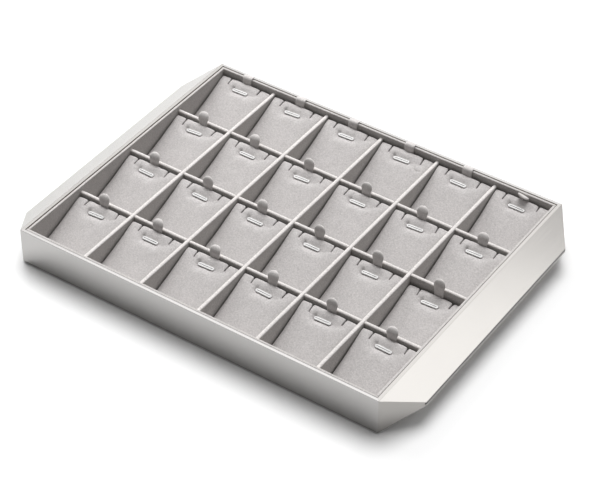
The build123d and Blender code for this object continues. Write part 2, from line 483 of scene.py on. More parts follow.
def segment_distance(x: Array, y: Array, start: Point, end: Point) -> Array:
    """Distance from points to a straight line between two points.

    Args:
        x: Points' x.
        y: Points' y.
        start: One end of the line.
        end: Its other end.

    Returns:
        The distances.
    """
    along_x, along_y = end[0] - start[0], end[1] - start[1]
    length2 = along_x**2 + along_y**2
    share = np.clip(((x - start[0]) * along_x + (y - start[1]) * along_y) / length2, 0.0, 1.0)
    return np.hypot(x - start[0] - share * along_x, y - start[1] - share * along_y)


@dataclass(frozen=True)
class Bell:
    """A bell-shaped rise or dip of the cloth."""

    size: float
    width: float

    def at(self, distance: Array) -> Array:
        """Size of the rise or dip at a distance from its middle."""
        return self.size * bell(distance, self.width)


@dataclass(frozen=True)
class Zone:
    """A stretch of a grid whose lines lie closer together."""

    low: float
    high: float
    step: float


def graded_lines(low: float, high: float, step: float, zones: Sequence[Zone]) -> Array:
    """Grid lines between two values, closer together in the zones.

    Args:
        low: First line.
        high: Last line.
        step: Spacing outside the zones.
        zones: Stretches with a spacing of their own.

    Returns:
        The lines, in order.
    """
    lines = [low]
    while lines[-1] < high:
        here = lines[-1]
        inside = [zone.step for zone in zones if zone.low <= here + zone.step <= zone.high]
        lines.append(here + min(inside + [step]))
    lines = np.array(lines)
    return low + (lines - low) * (high - low) / (lines[-1] - low)


def quads(numbers: Array) -> Faces:
    """Faces between the points of a sheet.

    Args:
        numbers: The points' numbers, in rows and columns.

    Returns:
        One face for each four neighbours.
    """
    corners = (numbers[:-1, :-1], numbers[:-1, 1:], numbers[1:, 1:], numbers[1:, :-1])
    return np.stack(corners, axis=-1).reshape(-1, 4).tolist()


def tube_faces(rings: int, sides: int, closed: bool) -> Faces:
    """Faces of a tube through rings of points.

    Args:
        rings: Number of rings.
        sides: Points in each ring.
        closed: Whether the last ring joins the first. Otherwise both ends are capped.

    Returns:
        The faces.
    """
    numbers = np.arange(rings * sides).reshape(rings, sides)
    faces = quads(np.pad(numbers, ((0, int(closed)), (0, 1)), mode="wrap"))
    return faces if closed else [*faces, numbers[0, ::-1].tolist(), numbers[-1].tolist()]


def new_piece(name: str, points: Array, faces: Faces) -> Piece:
    """Smooth-shaded mesh object in the scene.

    Args:
        name: The piece's name.
        points: Its vertices, one row each.
        faces: Its faces, as vertex numbers.

    Returns:
        The object.
    """
    mesh = bpy.data.meshes.new(name)
    mesh.from_pydata(points.tolist(), [], faces)
    mesh.validate()
    mesh.shade_smooth()
    made = bpy.data.objects.new(name, mesh)
    bpy.context.scene.collection.objects.link(made)
    return made


def dress(piece: Piece, material: Material) -> None:
    """Give a piece one material."""
    piece.data.materials.clear()
    piece.data.materials.append(material)


@dataclass
class RoundedGrid:
    """Surface grid of a block with rolled top edges: a top, four walls and a bottom."""

    half_width: float
    depth: float
    roll: float
    x_inner: Array
    y_inner: Array
    roll_steps: int = 4
    wall_steps: int = 5
    points: Array = field(init=False)
    faces: Faces = field(init=False)

    def __post_init__(self) -> None:
        """Lay out the grid's points and join them into faces.

        Each point is (x, y, share of the wall's height, height above the wall).
        """
        turn = np.tan(np.linspace(0.0, math.pi / 4, self.roll_steps + 1))[1:] * self.roll
        inner_x, inner_y = self.half_width - self.roll, self.depth / 2 - self.roll
        xs = np.concatenate([-(inner_x + turn[::-1]), self.x_inner, inner_x + turn])
        ys = np.concatenate([-(inner_y + turn[::-1]), self.y_inner, inner_y + turn])
        wall = [(share, 0.0) for share in np.linspace(0.0, 1.0, self.wall_steps + 1)]
        levels = np.array(wall + [(1.0, lift) for lift in turn])
        skin = np.ones((len(levels), len(ys), len(xs)), dtype=bool)
        skin[:-1, 1:-1, 1:-1] = False
        self._join(skin)
        k, j, i = np.nonzero(skin)
        x, y = xs[i], ys[j]
        share, lift = levels[k].T
        over_x = np.maximum(np.abs(x) - inner_x, 0.0)
        over_y = np.maximum(np.abs(y) - inner_y, 0.0)
        size = np.sqrt(over_x**2 + over_y**2 + lift**2)
        pull = self.roll / np.where(size > 0.0, size, 1.0)
        x = np.copysign(np.abs(x) - over_x + over_x * pull, x)
        y = np.copysign(np.abs(y) - over_y + over_y * pull, y)
        self.points = np.stack([x, y, share, lift * pull], axis=1)

    def _join(self, skin: Array) -> None:
        """List the faces of the top, the walls and the bottom.

        Args:
            skin: Which places of the block, by level, row and column, have a point.
        """
        number = np.zeros(skin.shape, dtype=int)
        number[skin] = np.arange(skin.sum())
        walls = (number[:, 0, :-1], number[:, :-1, -1], number[:, -1, :0:-1], number[:, :0:-1, 0])
        rings = np.concatenate(walls, axis=1)
        sides = quads(np.pad(rings, ((0, 0), (0, 1)), mode="wrap"))
        self.faces = [*quads(number[-1]), *sides, rings[0, ::-1].tolist()]


@dataclass
class SoftNoise:
    """Smooth seeded waves over a surface, about -1 to 1."""

    seed: int
    longest: float
    shortest: float
    waves: int = 9

    def __post_init__(self) -> None:
        """Draw the waves."""
        draw = np.random.default_rng(self.seed)
        length = draw.uniform(self.shortest, self.longest, self.waves)
        angle = draw.uniform(0.0, 2.0 * math.pi, self.waves)
        self.kx = 2.0 * math.pi / length * np.cos(angle)
        self.ky = 2.0 * math.pi / length * np.sin(angle)
        self.phase = draw.uniform(0.0, 2.0 * math.pi, self.waves)

    def at(self, x: Array, y: Array) -> Array:
        """Value at points."""
        angle = np.multiply.outer(x, self.kx) + np.multiply.outer(y, self.ky) + self.phase
        return np.cos(angle).sum(-1) / math.sqrt(self.waves)


# Pads


@dataclass
class Slit:
    """One chain slit, open at the pad's back edge."""

    x: float
    length: float
    half_width: float
    half_mouth: float
    mouth: float
    lean: float
    shoulder: float = 0.45 * MM
    depth: float = 7.0 * MM
    steepness: float = 24.0

    def drop(self, x: Array, back: Array) -> Array:
        """How far the cloth dips into the slit.

        Args:
            x: Points' x.
            back: Points' distance from the pad's back edge.

        Returns:
            The drop at each point.
        """
        middle = self.x + self.lean * back
        opening = smoothstep(1.0 - back / self.mouth)
        half = self.half_width + (self.half_mouth - self.half_width) * opening
        closing = np.clip((back - self.length + half) / half, 0.0, None)
        gap = np.hypot(x - middle, closing * half) - half
        edge = np.clip(self.shoulder - gap, 0.0, self.shoulder)
        rolled = self.shoulder - np.sqrt(self.shoulder**2 - edge**2)
        inside = self.shoulder - gap * self.steepness
        return np.where(gap < 0.0, inside, rolled).clip(0.0, self.depth)


@dataclass
class PadCover:
    """Cloth-covered foam wedge of one compartment, tufted at its eyelet.

    Points on it are given as x and y from the pad's middle.
    """

    row: int
    column: int
    back_drop: float = 0.0
    half_width: float = 23.35 * MM
    depth: float = 55.75 * MM
    roll: float = 1.0 * MM
    front_rise: float = 2.3 * MM
    back_rise: float = 20.35 * MM
    end_crown: float = 0.5 * MM
    crown: float = 1.1 * MM
    side_draw: float = 0.75 * MM
    waviness: float = 0.06 * MM
    slit_spacing: float = 28.0 * MM
    slit_pin: float = 0.9 * MM
    eyelet_length: float = 13.8 * MM
    eyelet_width: float = 4.0 * MM
    eyelet_flange: float = 0.7 * MM
    eyelet_round: float = 0.3 * MM
    eyelet_setback: float = 9.0 * MM
    ring_length: float = 13.9 * MM
    ring_width: float = 2.7 * MM
    ring_lift: float = 0.5 * MM
    ring_pin: float = 0.5 * MM
    slot_width: float = 0.28 * MM
    slot_fill: float = 0.5 * MM
    bulge: float = 0.35 * MM
    bulge_start: float = 26.0 * MM
    back_end: float = 10.0 * MM
    back_fall: float = 0.7 * MM
    puff: float = 0.55 * MM
    puff_run: float = 6.0 * MM
    flap_fullness: int = 5
    flank_fullness: int = 4
    tuft_reach: float = 2.1 * MM
    tuft_curve: float = 1.25
    tuft_cuff: float = 0.15 * MM
    rear_seat: float = 0.5 * MM
    rear_seat_run: float = 2.0 * MM
    groove: Bell = Bell(0.7 * MM, 0.6 * MM)
    groove_offset: float = 0.2 * MM
    groove_left: float = 2.2 * MM
    pull: Bell = Bell(0.2 * MM, 1.3 * MM)
    pull_offset: Point = (2.4 * MM, 0.8 * MM)
    pull_gap: float = 0.6 * MM
    dimple: Bell = Bell(0.6 * MM, 2.4 * MM)
    dimple_offset: Point = (1.2 * MM, 1.6 * MM)
    pinch: Bell = Bell(1.3 * MM, 1.25 * MM)
    pillow: Bell = Bell(0.5 * MM, 2.8 * MM)
    pillow_offset: float = 5.4 * MM
    pillow_width: float = 8.5 * MM
    crease: Bell = Bell(0.35 * MM, 0.7 * MM)
    creases: Sequence[Tuple[Point, Point]] = ()
    swell: Optional["Swell"] = None

    def __post_init__(self) -> None:
        """Read the compartment's place from the frame and draw what differs from pad to pad."""
        name = f"row{self.row}_col{self.column}"
        low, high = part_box(f"pad_{name}")
        eyelet_low, eyelet_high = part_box(f"eyelet_{name}")
        self.node = f"pad_{name}"
        self.body = f"pad_r{self.row}c{self.column}"
        self.middle_x = (low.x + high.x) / 2
        self.middle_y = low.y + self.depth / 2
        self.bottom = low.z
        self.slope = (self.back_rise - self.back_drop - self.front_rise) / self.depth
        self.tilt = math.atan(self.slope)
        self.plan = math.cos(self.tilt)
        self.eyelet_x = (eyelet_low.x + eyelet_high.x) / 2 - self.middle_x
        self.eyelet_y = self.depth / 2 - self.eyelet_setback * self.plan
        self.ring_run = self.ring_length - self.ring_width
        flange = (self.eyelet_flange - self.eyelet_round) * self.plan
        rim = (self.eyelet_width / 2 - self.eyelet_round) * math.sin(self.tilt)
        self.seat = eyelet_high.z - flange - rim - self.eyelet_round - self.bottom + self.ring_lift
        self.draw = np.random.default_rng(1000 * self.row + self.column)
        self.slits = [self._slit(side) for side in (-1, 1)]
        self.eyelet_turn = math.radians(self.draw.uniform(-1.5, 4.0))
        seed = 700 + 10 * self.row + self.column
        self.unrest = SoftNoise(seed, longest=26.0 * MM, shortest=9.0 * MM)

    def _slit(self, side: int) -> Slit:
        """Draw one of the two slits.

        Args:
            side: -1 for the left one, 1 for the right one.

        Returns:
            The slit.
        """
        between = self.draw.uniform
        return Slit(
            x=side * self.slit_spacing / 2 + between(-0.35, 0.35) * MM,
            length=between(5.4, 7.0) * MM,
            half_width=between(0.32, 0.44) * MM,
            half_mouth=between(0.6, 1.2) * MM,
            mouth=between(1.4, 2.4) * MM,
            lean=between(-0.1, 0.1),
        )

    def from_eyelet(self, x: Array, y: Array) -> Tuple[Array, ...]:
        """Place of points as the eyelet lies.

        Args:
            x: Points' x.
            y: Points' y.

        Returns:
            Distance along the eyelet to the right, distance behind it up the slope, and
            distance from the middle line of its slot.
        """
        aside, ahead = x - self.eyelet_x, (y - self.eyelet_y) / self.plan
        cosine, sine = math.cos(self.eyelet_turn), math.sin(self.eyelet_turn)
        aside, ahead = aside * cosine + ahead * sine, ahead * cosine - aside * sine
        beyond = np.clip(np.abs(aside) - self.ring_run / 2, 0.0, None)
        return aside, ahead, np.hypot(beyond, ahead)

    def held(self, x: Array, y: Array) -> Array:
        """Where the eyelet and the slits hold the cloth down.

        Args:
            x: Points' x.
            y: Points' y.

        Returns:
            True at each point that is held.
        """
        held = self.from_eyelet(x, y)[2] < self.ring_width / 2 + self.ring_pin
        for slit in self.slits:
            held |= (np.abs(x - slit.x) < self.slit_pin) & (self.depth / 2 - y < slit.length)
        return held

    def height(self, x: Array, y: Array) -> Array:
        """Height of the cloth above the pad's underside.

        Args:
            x: Points' x.
            y: Points' y.

        Returns:
            The heights.
        """
        along = np.clip(y / self.depth + 0.5, 0.0, 1.0)
        back = self.depth / 2 - y
        swell = self.end_crown + (self.crown - self.end_crown) * np.sin(math.pi * along)
        top = self.front_rise + self.slope * (y + self.depth / 2)
        top = top + swell * (1.0 - (x / self.half_width) ** 2)
        top = top + self.waviness * self.unrest.at(x, y)
        bulge_run = self.bulge_start - self.back_end
        top = top + self.bulge * smoothstep((self.bulge_start - back) / bulge_run)
        top = top - self.back_fall * np.clip(1.0 - back / self.back_end, 0.0, 1.0) ** 2
        puff = self.puff * smoothstep((self.back_end - back) / self.puff_run)
        top = top + puff * self._between_slits(x)
        for start, end in self.creases:
            top = top - self.crease.at(segment_distance(x, y, start, end))
        top = self._tuft(x, y, top)
        return top - sum(slit.drop(x, back) for slit in self.slits)

    def _between_slits(self, x: Array) -> Array:
        """How far the cloth near the back edge puffs up.

        Args:
            x: Distances from the pad's middle line.

        Returns:
            0 at a slit to 1 midway between two, or between one and the pad's side.
        """
        half = self.slit_spacing / 2
        flap = 1.0 - np.abs(x / half) ** self.flap_fullness
        outer = (self.half_width - half) / 2
        flank = 0.5 - 0.5 * np.abs((np.abs(x) - half - outer) / outer) ** self.flank_fullness
        flank = np.where(np.abs(x) > half, flank, 0.0)
        return np.sqrt(np.maximum(flap, 0.0)) + np.sqrt(np.maximum(flank, 0.0))

    def _tuft(self, x: Array, y: Array, top: Array) -> Array:
        """Pull the cloth down to the eyelet's seat.

        Args:
            x: Points' x.
            y: Points' y.
            top: Heights before.

        Returns:
            Heights after.
        """
        aside, ahead, out = self.from_eyelet(x, y)
        half_run = self.ring_run / 2
        beside_ring = out - self.ring_width / 2
        in_slot = self.slot_width / 2 - out
        past_cuff = np.clip(beside_ring - self.tuft_cuff, 0.0, None)
        held = np.exp(-((past_cuff / self.tuft_reach) ** self.tuft_curve))
        slit, (left, rear) = self.slits[0], self.pull_offset
        start = (self.eyelet_x - half_run - left, self.eyelet_y + rear)
        end = (slit.x, self.depth / 2 - slit.length - self.pull_gap)
        top = top - self.pull.at(segment_distance(x, y, start, end))
        left, rear = self.dimple_offset
        left_end = np.hypot(aside + half_run + left, ahead - rear)
        top = top - self.dimple.at(left_end)
        top = top + self.pillow.at(ahead + self.pillow_offset) * bell(aside, self.pillow_width)
        behind = smoothstep(0.5 + ahead / self.rear_seat_run)
        groove = 1.0 - behind + bell(left_end, self.groove_left)
        seat = self.seat + self.slope * (y - self.eyelet_y)
        seat = seat + self.rear_seat * behind
        seat = seat - groove * self.groove.at(beside_ring - self.groove_offset)
        seat = seat + self.slot_fill * smoothstep(in_slot / self.slot_fill + 0.5)
        return top * (1.0 - held) + seat * held - self.pinch.at(left_end)

    def build(self, grid: RoundedGrid, cloth: Material) -> Piece:
        """Make the pad's mesh and put it on its body.

        Args:
            grid: The surface grid that all pads share.
            cloth: The pad's material.

        Returns:
            The pad.
        """
        x, y, share, lift = grid.points.T
        along = np.clip(y / self.depth + 0.5, 0.0, 1.0)
        x = x * (1.0 - self.side_draw / self.half_width * np.sin(math.pi * along))
        top = self.height(x, y)
        if self.swell is not None:
            top = top + self.swell.at(x, y)
        z = share * (top - self.roll) + lift
        place = np.stack([x + self.middle_x, y + self.middle_y, z + self.bottom], axis=1)
        pad = new_piece(f"pad_cover_r{self.row}c{self.column}", place, grid.faces)
        pad.data.set_sharp_from_angle(angle=math.radians(70.0))
        dress(pad, cloth)
        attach(pad, self.body)
        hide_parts(self.node)
        return pad


def pad_grid(pad: PadCover) -> RoundedGrid:
    """The surface grid that all pads share, finer at the slits and around the eyelet.

    Args:
        pad: Any pad, for its sizes.

    Returns:
        The grid.
    """
    x_end = pad.half_width - pad.roll
    y_end = pad.depth / 2 - pad.roll
    slit = pad.slit_spacing / 2
    slit_reach, coarse = 2.6 * MM, 1.3 * MM
    aside = pad.eyelet_length / 2 + 3.5 * MM
    across = [Zone(pad.eyelet_x - aside, pad.eyelet_x + aside, 0.5 * MM)]
    for middle in (-slit, slit):
        across.append(Zone(middle - slit_reach, middle + slit_reach, 0.25 * MM))
    along = [
        Zone(pad.eyelet_y - 4.0 * MM, pad.eyelet_y + 3.6 * MM, 0.34 * MM),
        Zone(y_end - 6.0 * MM, y_end, 0.5 * MM),
    ]
    xs = graded_lines(-x_end, x_end, coarse, across)
    ys = graded_lines(-y_end, y_end, coarse, along)
    return RoundedGrid(pad.half_width, pad.depth, pad.roll, xs, ys)


@dataclass
class Swell:
    """How far a pad's simulated cover rose, on a grid of lines."""

    xs: Array
    ys: Array
    rise: Array

    def at(self, x: Array, y: Array) -> Array:
        """Rise at points, between the lines.

        Args:
            x: Points' x from the pad's middle.
            y: Points' y from the pad's middle.

        Returns:
            The rises.
        """
        i = np.clip(np.searchsorted(self.xs, x) - 1, 0, len(self.xs) - 2)
        j = np.clip(np.searchsorted(self.ys, y) - 1, 0, len(self.ys) - 2)
        u = np.clip((x - self.xs[i]) / (self.xs[i + 1] - self.xs[i]), 0.0, 1.0)
        v = np.clip((y - self.ys[j]) / (self.ys[j + 1] - self.ys[j]), 0.0, 1.0)
        front = self.rise[j, i] * (1.0 - u) + self.rise[j, i + 1] * u
        rear = self.rise[j + 1, i] * (1.0 - u) + self.rise[j + 1, i + 1] * u
        return front * (1.0 - v) + rear * v


@dataclass
class Inflation:
    """Cloth simulation that puffs the pads' covers up where nothing holds them down.

    The covers are simulated at a larger scale, where the solver is steady.
    """

    scale: float = 20.0
    spacing: float = 1.5 * MM
    pressure: float = 1.2
    excess: float = 0.006
    frames: int = 20
    cap: float = 0.9 * MM
    covers: List[Tuple[PadCover, RoundedGrid, Piece]] = field(default_factory=list)

    def add(self, pad: PadCover) -> None:
        """Make a pad's cover and pin its walls, its eyelet and its slits.

        Args:
            pad: The pad.
        """
        x_end, y_end = pad.half_width - pad.roll, pad.depth / 2 - pad.roll
        xs = graded_lines(-x_end, x_end, self.spacing, [])
        ys = graded_lines(-y_end, y_end, self.spacing, [])
        grid = RoundedGrid(pad.half_width, pad.depth, pad.roll, xs, ys, roll_steps=2, wall_steps=2)
        x, y, share, lift = grid.points.T
        z = share * (pad.height(x, y) - pad.roll) + lift
        points = np.stack([x, y, z], axis=1) * self.scale
        cover = new_piece(f"cover_r{pad.row}c{pad.column}", points, grid.faces)
        pinned = (share < 1.0) | (lift == 0.0) | pad.held(x, y)
        pins = cover.vertex_groups.new(name="pins")
        pins.add([int(i) for i in np.flatnonzero(pinned)], 1.0, "REPLACE")
        cloth = cover.modifiers.new("cloth", "CLOTH")
        settings = cloth.settings
        settings.vertex_group_mass = "pins"
        settings.use_pressure = True
        settings.uniform_pressure_force = self.pressure
        settings.effector_weights.gravity = 0.0
        settings.shrink_min = -self.excess
        settings.shrink_max = -self.excess
        cloth.point_cache.frame_start = 1
        cloth.point_cache.frame_end = self.frames
        self.covers.append((pad, grid, cover))

    def run(self) -> None:
        """Step the simulation, give each pad its swell and remove the covers."""
        scene = bpy.context.scene
        for frame_number in range(1, self.frames + 1):
            scene.frame_set(frame_number)
        graph = bpy.context.evaluated_depsgraph_get()
        for pad, grid, cover in self.covers:
            meshes = (cover.data, cover.evaluated_get(graph).data)
            before, after = (np.array([point.co.z for point in mesh.vertices]) for mesh in meshes)
            rise = (after - before) / self.scale
            LOG.info("cover %s rose %.2f to %.2f mm", cover.name, rise.min() / MM, rise.max() / MM)
            edge = grid.roll_steps
            wide, deep = (len(lines) + 2 * edge for lines in (grid.x_inner, grid.y_inner))
            table = rise[-wide * deep :].reshape(deep, wide)[edge:-edge, edge:-edge]
            pad.swell = Swell(grid.x_inner, grid.y_inner, self.cap * np.tanh(table / self.cap))
        for _, _, cover in self.covers:
            mesh = cover.data
            bpy.data.objects.remove(cover)
            bpy.data.meshes.remove(mesh)
        scene.frame_set(1)


# Eyelets


@dataclass
class Eyelet:
    """Oblong grommet pressed onto a pad: a domed flange with a barrel through its slot."""

    pad: PadCover
    skirt: float = 0.5 * MM
    barrel_wall: float = 0.35 * MM
    barrel_depth: float = 3.0 * MM
    edge: float = 0.12 * MM
    flatness: float = 0.28
    dome_steps: int = 10
    arc_steps: int = 18

    def _section(self) -> Array:
        """Outline across the ring, from the skirt over the dome and down the barrel.

        Returns:
            Distances from the slot's middle line, and heights.
        """
        outer, inner = self.pad.ring_width / 2, self.pad.slot_width / 2
        middle, half = (outer + inner) / 2, (outer - inner) / 2
        section = [(outer, -self.skirt)]
        for i in range(self.dome_steps + 1):
            turn = math.pi * i / self.dome_steps
            rise = (self.pad.eyelet_flange - self.edge) * math.sin(turn) ** self.flatness
            section.append((middle + half * math.cos(turn), self.edge + rise))
        barrel = inner + self.barrel_wall
        section += [(inner, -self.barrel_depth), (barrel, -self.barrel_depth)]
        return np.array([*section, (barrel, -self.skirt)]).T

    def build(self, plating: Material) -> Piece:
        """Make the ring on its pad's seat and put it on the pad's body.

        Args:
            plating: The ring's material.

        Returns:
            The ring.
        """
        pad = self.pad
        reach, rise = self._section()
        arc = math.pi * np.arange(self.arc_steps + 1) / self.arc_steps
        angle = np.concatenate([arc - math.pi / 2, arc + math.pi / 2])[:, None]
        middle = np.repeat([pad.ring_run / 2, -pad.ring_run / 2], len(arc))[:, None]
        along, ahead = middle + np.cos(angle) * reach, np.sin(angle) * reach
        cosine, sine = math.cos(pad.eyelet_turn), math.sin(pad.eyelet_turn)
        along, ahead = along * cosine - ahead * sine, along * sine + ahead * cosine
        climb = math.sin(pad.tilt)
        x = pad.middle_x + pad.eyelet_x + along
        y = pad.middle_y + pad.eyelet_y + ahead * pad.plan - rise * climb
        z = pad.bottom + pad.seat + ahead * climb + rise * pad.plan
        points = np.stack([x, y, z], axis=-1).reshape(-1, 3)
        faces = [face[::-1] for face in tube_faces(len(angle), len(reach), closed=True)]
        ring = new_piece(f"eyelet_ring_r{pad.row}c{pad.column}", points, faces)
        ring.data.set_sharp_from_angle(angle=math.radians(60.0))
        dress(ring, plating)
        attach(ring, pad.body)
        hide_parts(f"eyelet_row{pad.row}_col{pad.column}")
        return ring


# Pull tabs


class TabPose(Enum):
    """How a pull tab lies."""

    CURLED = "standing behind its pad, curled back over the divider"
    UPRIGHT = "standing behind its pad, nearly straight"
    OVER_RIM = "folded back over the liner wall and onto the rim"
    FORWARD = "curled forward over its own pad"


@dataclass(frozen=True)
class Bend:
    """A stretch of a tab, with the turn back that its left and its right edge make."""

    length: float
    left: float
    right: float


STANDING_TURN: Mapping[TabPose, Point] = {
    TabPose.CURLED: (56.0, 80.0),
    TabPose.UPRIGHT: (28.0, 42.0),
}


@dataclass
class PullTab:
    """Doubled cloth tab on the back of a pad, by which the pad is lifted out."""

    pad: PadCover
    pose: TabPose
    stem: float = 7.6 * MM
    head: float = 9.3 * MM
    thickness: float = 1.0 * MM
    puff: float = 1.1 * MM
    glued: float = 8.0 * MM
    standing: float = 8.7 * MM
    divider_top: float = 26.35 * MM
    divider_gap: float = 0.2 * MM
    rim_top: float = 30.5 * MM
    rim_gap: float = 1.0 * MM
    rim_reach: float = 62.2 * MM
    rim_stop: float = 1.6 * MM
    fold: float = 1.9 * MM
    lean_length: float = 4.0 * MM
    lean: float = 5.0
    droop: float = 4.0
    pad_gap: float = 0.8 * MM
    forward: Sequence[Bend] = (
        Bend(2.4 * MM, -math.radians(28.0), -math.radians(42.0)),
        Bend(6.0 * MM, -math.radians(12.0), -math.radians(64.0)),
    )
    corner: float = 1.6 * MM
    corner_inset: float = 0.5 * MM
    neck_start: float = 2.2
    neck_run: float = 1.2
    ending: float = 5.0 * MM
    ending_stations: int = 14
    stations: int = 46
    bend_steps: int = 16
    sides: int = 28
    lower_length: float = 0.45
    lower_turn: float = 0.3
    puff_run: float = 4.5 * MM
    thinnest: float = 0.15
    narrowest: float = 0.2 * MM
    flat_edge: float = 0.75
    flat_face: float = 0.7

    def _bends(self, foot_y: float, foot_z: float) -> List[Bend]:
        """The tab's bends from its glued foot to its tip.

        Args:
            foot_y: The foot's distance from the compartment's front.
            foot_z: The foot's height.

        Returns:
            The bends.
        """
        pad = self.pad
        draw = pad.draw.uniform
        if self.pose in STANDING_TURN:
            rise = self.divider_top + self.divider_gap - foot_z
            turn = math.radians(draw(*STANDING_TURN[self.pose]))
            skew = draw(-0.12, 0.12)
            left, right = turn * (1.0 - skew), turn * (1.0 + skew)
            length = self.standing * draw(0.93, 1.05)
            shares = (self.lower_length, self.lower_turn)
            bends = [Bend(rise, 0.0, 0.0)]
            for run, bent in (shares, (1.0 - shares[0], 1.0 - shares[1])):
                bends.append(Bend(length * run, left * bent, right * bent))
            return bends
        if self.pose is TabPose.OVER_RIM:
            rise = self.rim_top + self.rim_gap - self.fold - foot_z
            over = self.rim_reach - self.rim_stop - foot_y - self.fold
            lean = math.radians(self.lean)
            top = math.pi / 2 - lean + math.radians(self.droop)
            skew = draw(-0.03, 0.03)
            return [
                Bend(rise - self.lean_length, 0.0, 0.0),
                Bend(self.lean_length, lean, lean),
                Bend(self.fold * math.pi / 2, top - skew, top + skew),
                Bend(over, draw(-0.02, 0.04), draw(-0.02, 0.04)),
            ]
        rise = pad.bottom + pad.back_rise - pad.back_drop + self.pad_gap - foot_z
        return [Bend(rise, 0.0, 0.0), *self.forward]

    def _edge(self, bends: Sequence[Bend], right: bool, start: Point) -> Array:
        """Follow one edge of the tab.

        Args:
            bends: The tab's bends.
            right: Whether it is the right edge.
            start: The foot as (y, z).

        Returns:
            One row (run, y, z, heading) for each step.
        """
        count = self.bend_steps
        turns = np.repeat([bend.right if right else bend.left for bend in bends], count) / count
        steps = np.repeat([bend.length for bend in bends], count) / count
        middle = np.cumsum(turns) - turns / 2
        moves = np.stack([steps, steps * np.sin(middle), steps * np.cos(middle), turns], axis=1)
        return np.cumsum(np.vstack([(0.0, *start, 0.0), moves]), axis=0)

    def _half_widths(self, run: Array) -> Array:
        """Half of the tab's width at each point.

        Args:
            run: Distance of each point from the foot.

        Returns:
            The half widths.
        """
        left = run[-1] - run
        if self.pose is TabPose.OVER_RIM:
            cut = np.clip(self.corner - left, 0.0, self.corner)
            square = self.head / 2 - self.corner_inset - self.corner
            return square + np.sqrt(np.maximum(self.corner**2 - cut**2, 0.0))
        radius = self.head / 2
        neck = smoothstep((self.neck_start * radius - left) / (self.neck_run * radius))
        width = self.stem / 2 + (radius - self.stem / 2) * neck
        inside = np.sqrt(np.maximum(radius**2 - (radius - left) ** 2, 0.0))
        return np.where(left < radius, inside, width)

    def build(self, cloth: Material) -> Piece:
        """Make the tab's mesh and put it on its pad's body.

        Args:
            cloth: The tab's material.

        Returns:
            The tab.
        """
        pad = self.pad
        foot_z = pad.bottom + pad.back_rise - pad.back_drop - pad.roll - self.glued
        start = (pad.depth + self.thickness / 2, foot_z)
        bends = self._bends(*start)
        left, right = self._edge(bends, False, start), self._edge(bends, True, start)
        length = left[-1, 0]
        straight = np.linspace(0.0, length - self.ending, self.stations - self.ending_stations)
        turn = np.linspace(0.0, math.pi / 2, self.ending_stations + 1)[1:]
        runs = np.concatenate([straight, length - self.ending * np.cos(turn)])
        halves = np.maximum(self._half_widths(runs), self.narrowest)
        puffed = 0.0 if self.pose is TabPose.OVER_RIM else self.puff
        out_of_gap = smoothstep((runs - (length - self.standing)) / self.puff_run)
        deep = (self.thickness + puffed * out_of_gap) / 2
        tip = np.clip((length - runs) / (self.head / 4), 0.0, 1.0)
        deep = deep * np.sqrt(1.0 - (1.0 - tip) ** 2).clip(self.thinnest, 1.0)
        slide = pad.draw.uniform(-0.9, 1.1) * MM
        around = np.linspace(0.0, 2.0 * math.pi, self.sides, endpoint=False)
        across = np.outer(halves, signed_power(np.cos(around), self.flat_edge))
        out = np.outer(deep, signed_power(np.sin(around), self.flat_face))
        share = (across / self.head + 0.5).clip(0.0, 1.0)
        lines = []
        for column in (1, 2, 3):
            sides = (np.interp(runs, edge[:, 0], edge[:, column]) for edge in (left, right))
            low, high = (side[:, None] for side in sides)
            lines.append(low + (high - low) * share)
        y, z, heading = lines
        x = pad.middle_x + slide + across
        y = pad.middle_y - pad.depth / 2 + y + out * np.cos(heading)
        points = np.stack([x, y, z - out * np.sin(heading)], axis=-1).reshape(-1, 3)
        faces = tube_faces(len(runs), self.sides, closed=False)
        tab = new_piece(f"pull_tab_r{pad.row}c{pad.column}", points, faces)
        dress(tab, cloth)
        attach(tab, pad.body)
        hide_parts(pad.node)
        return tab


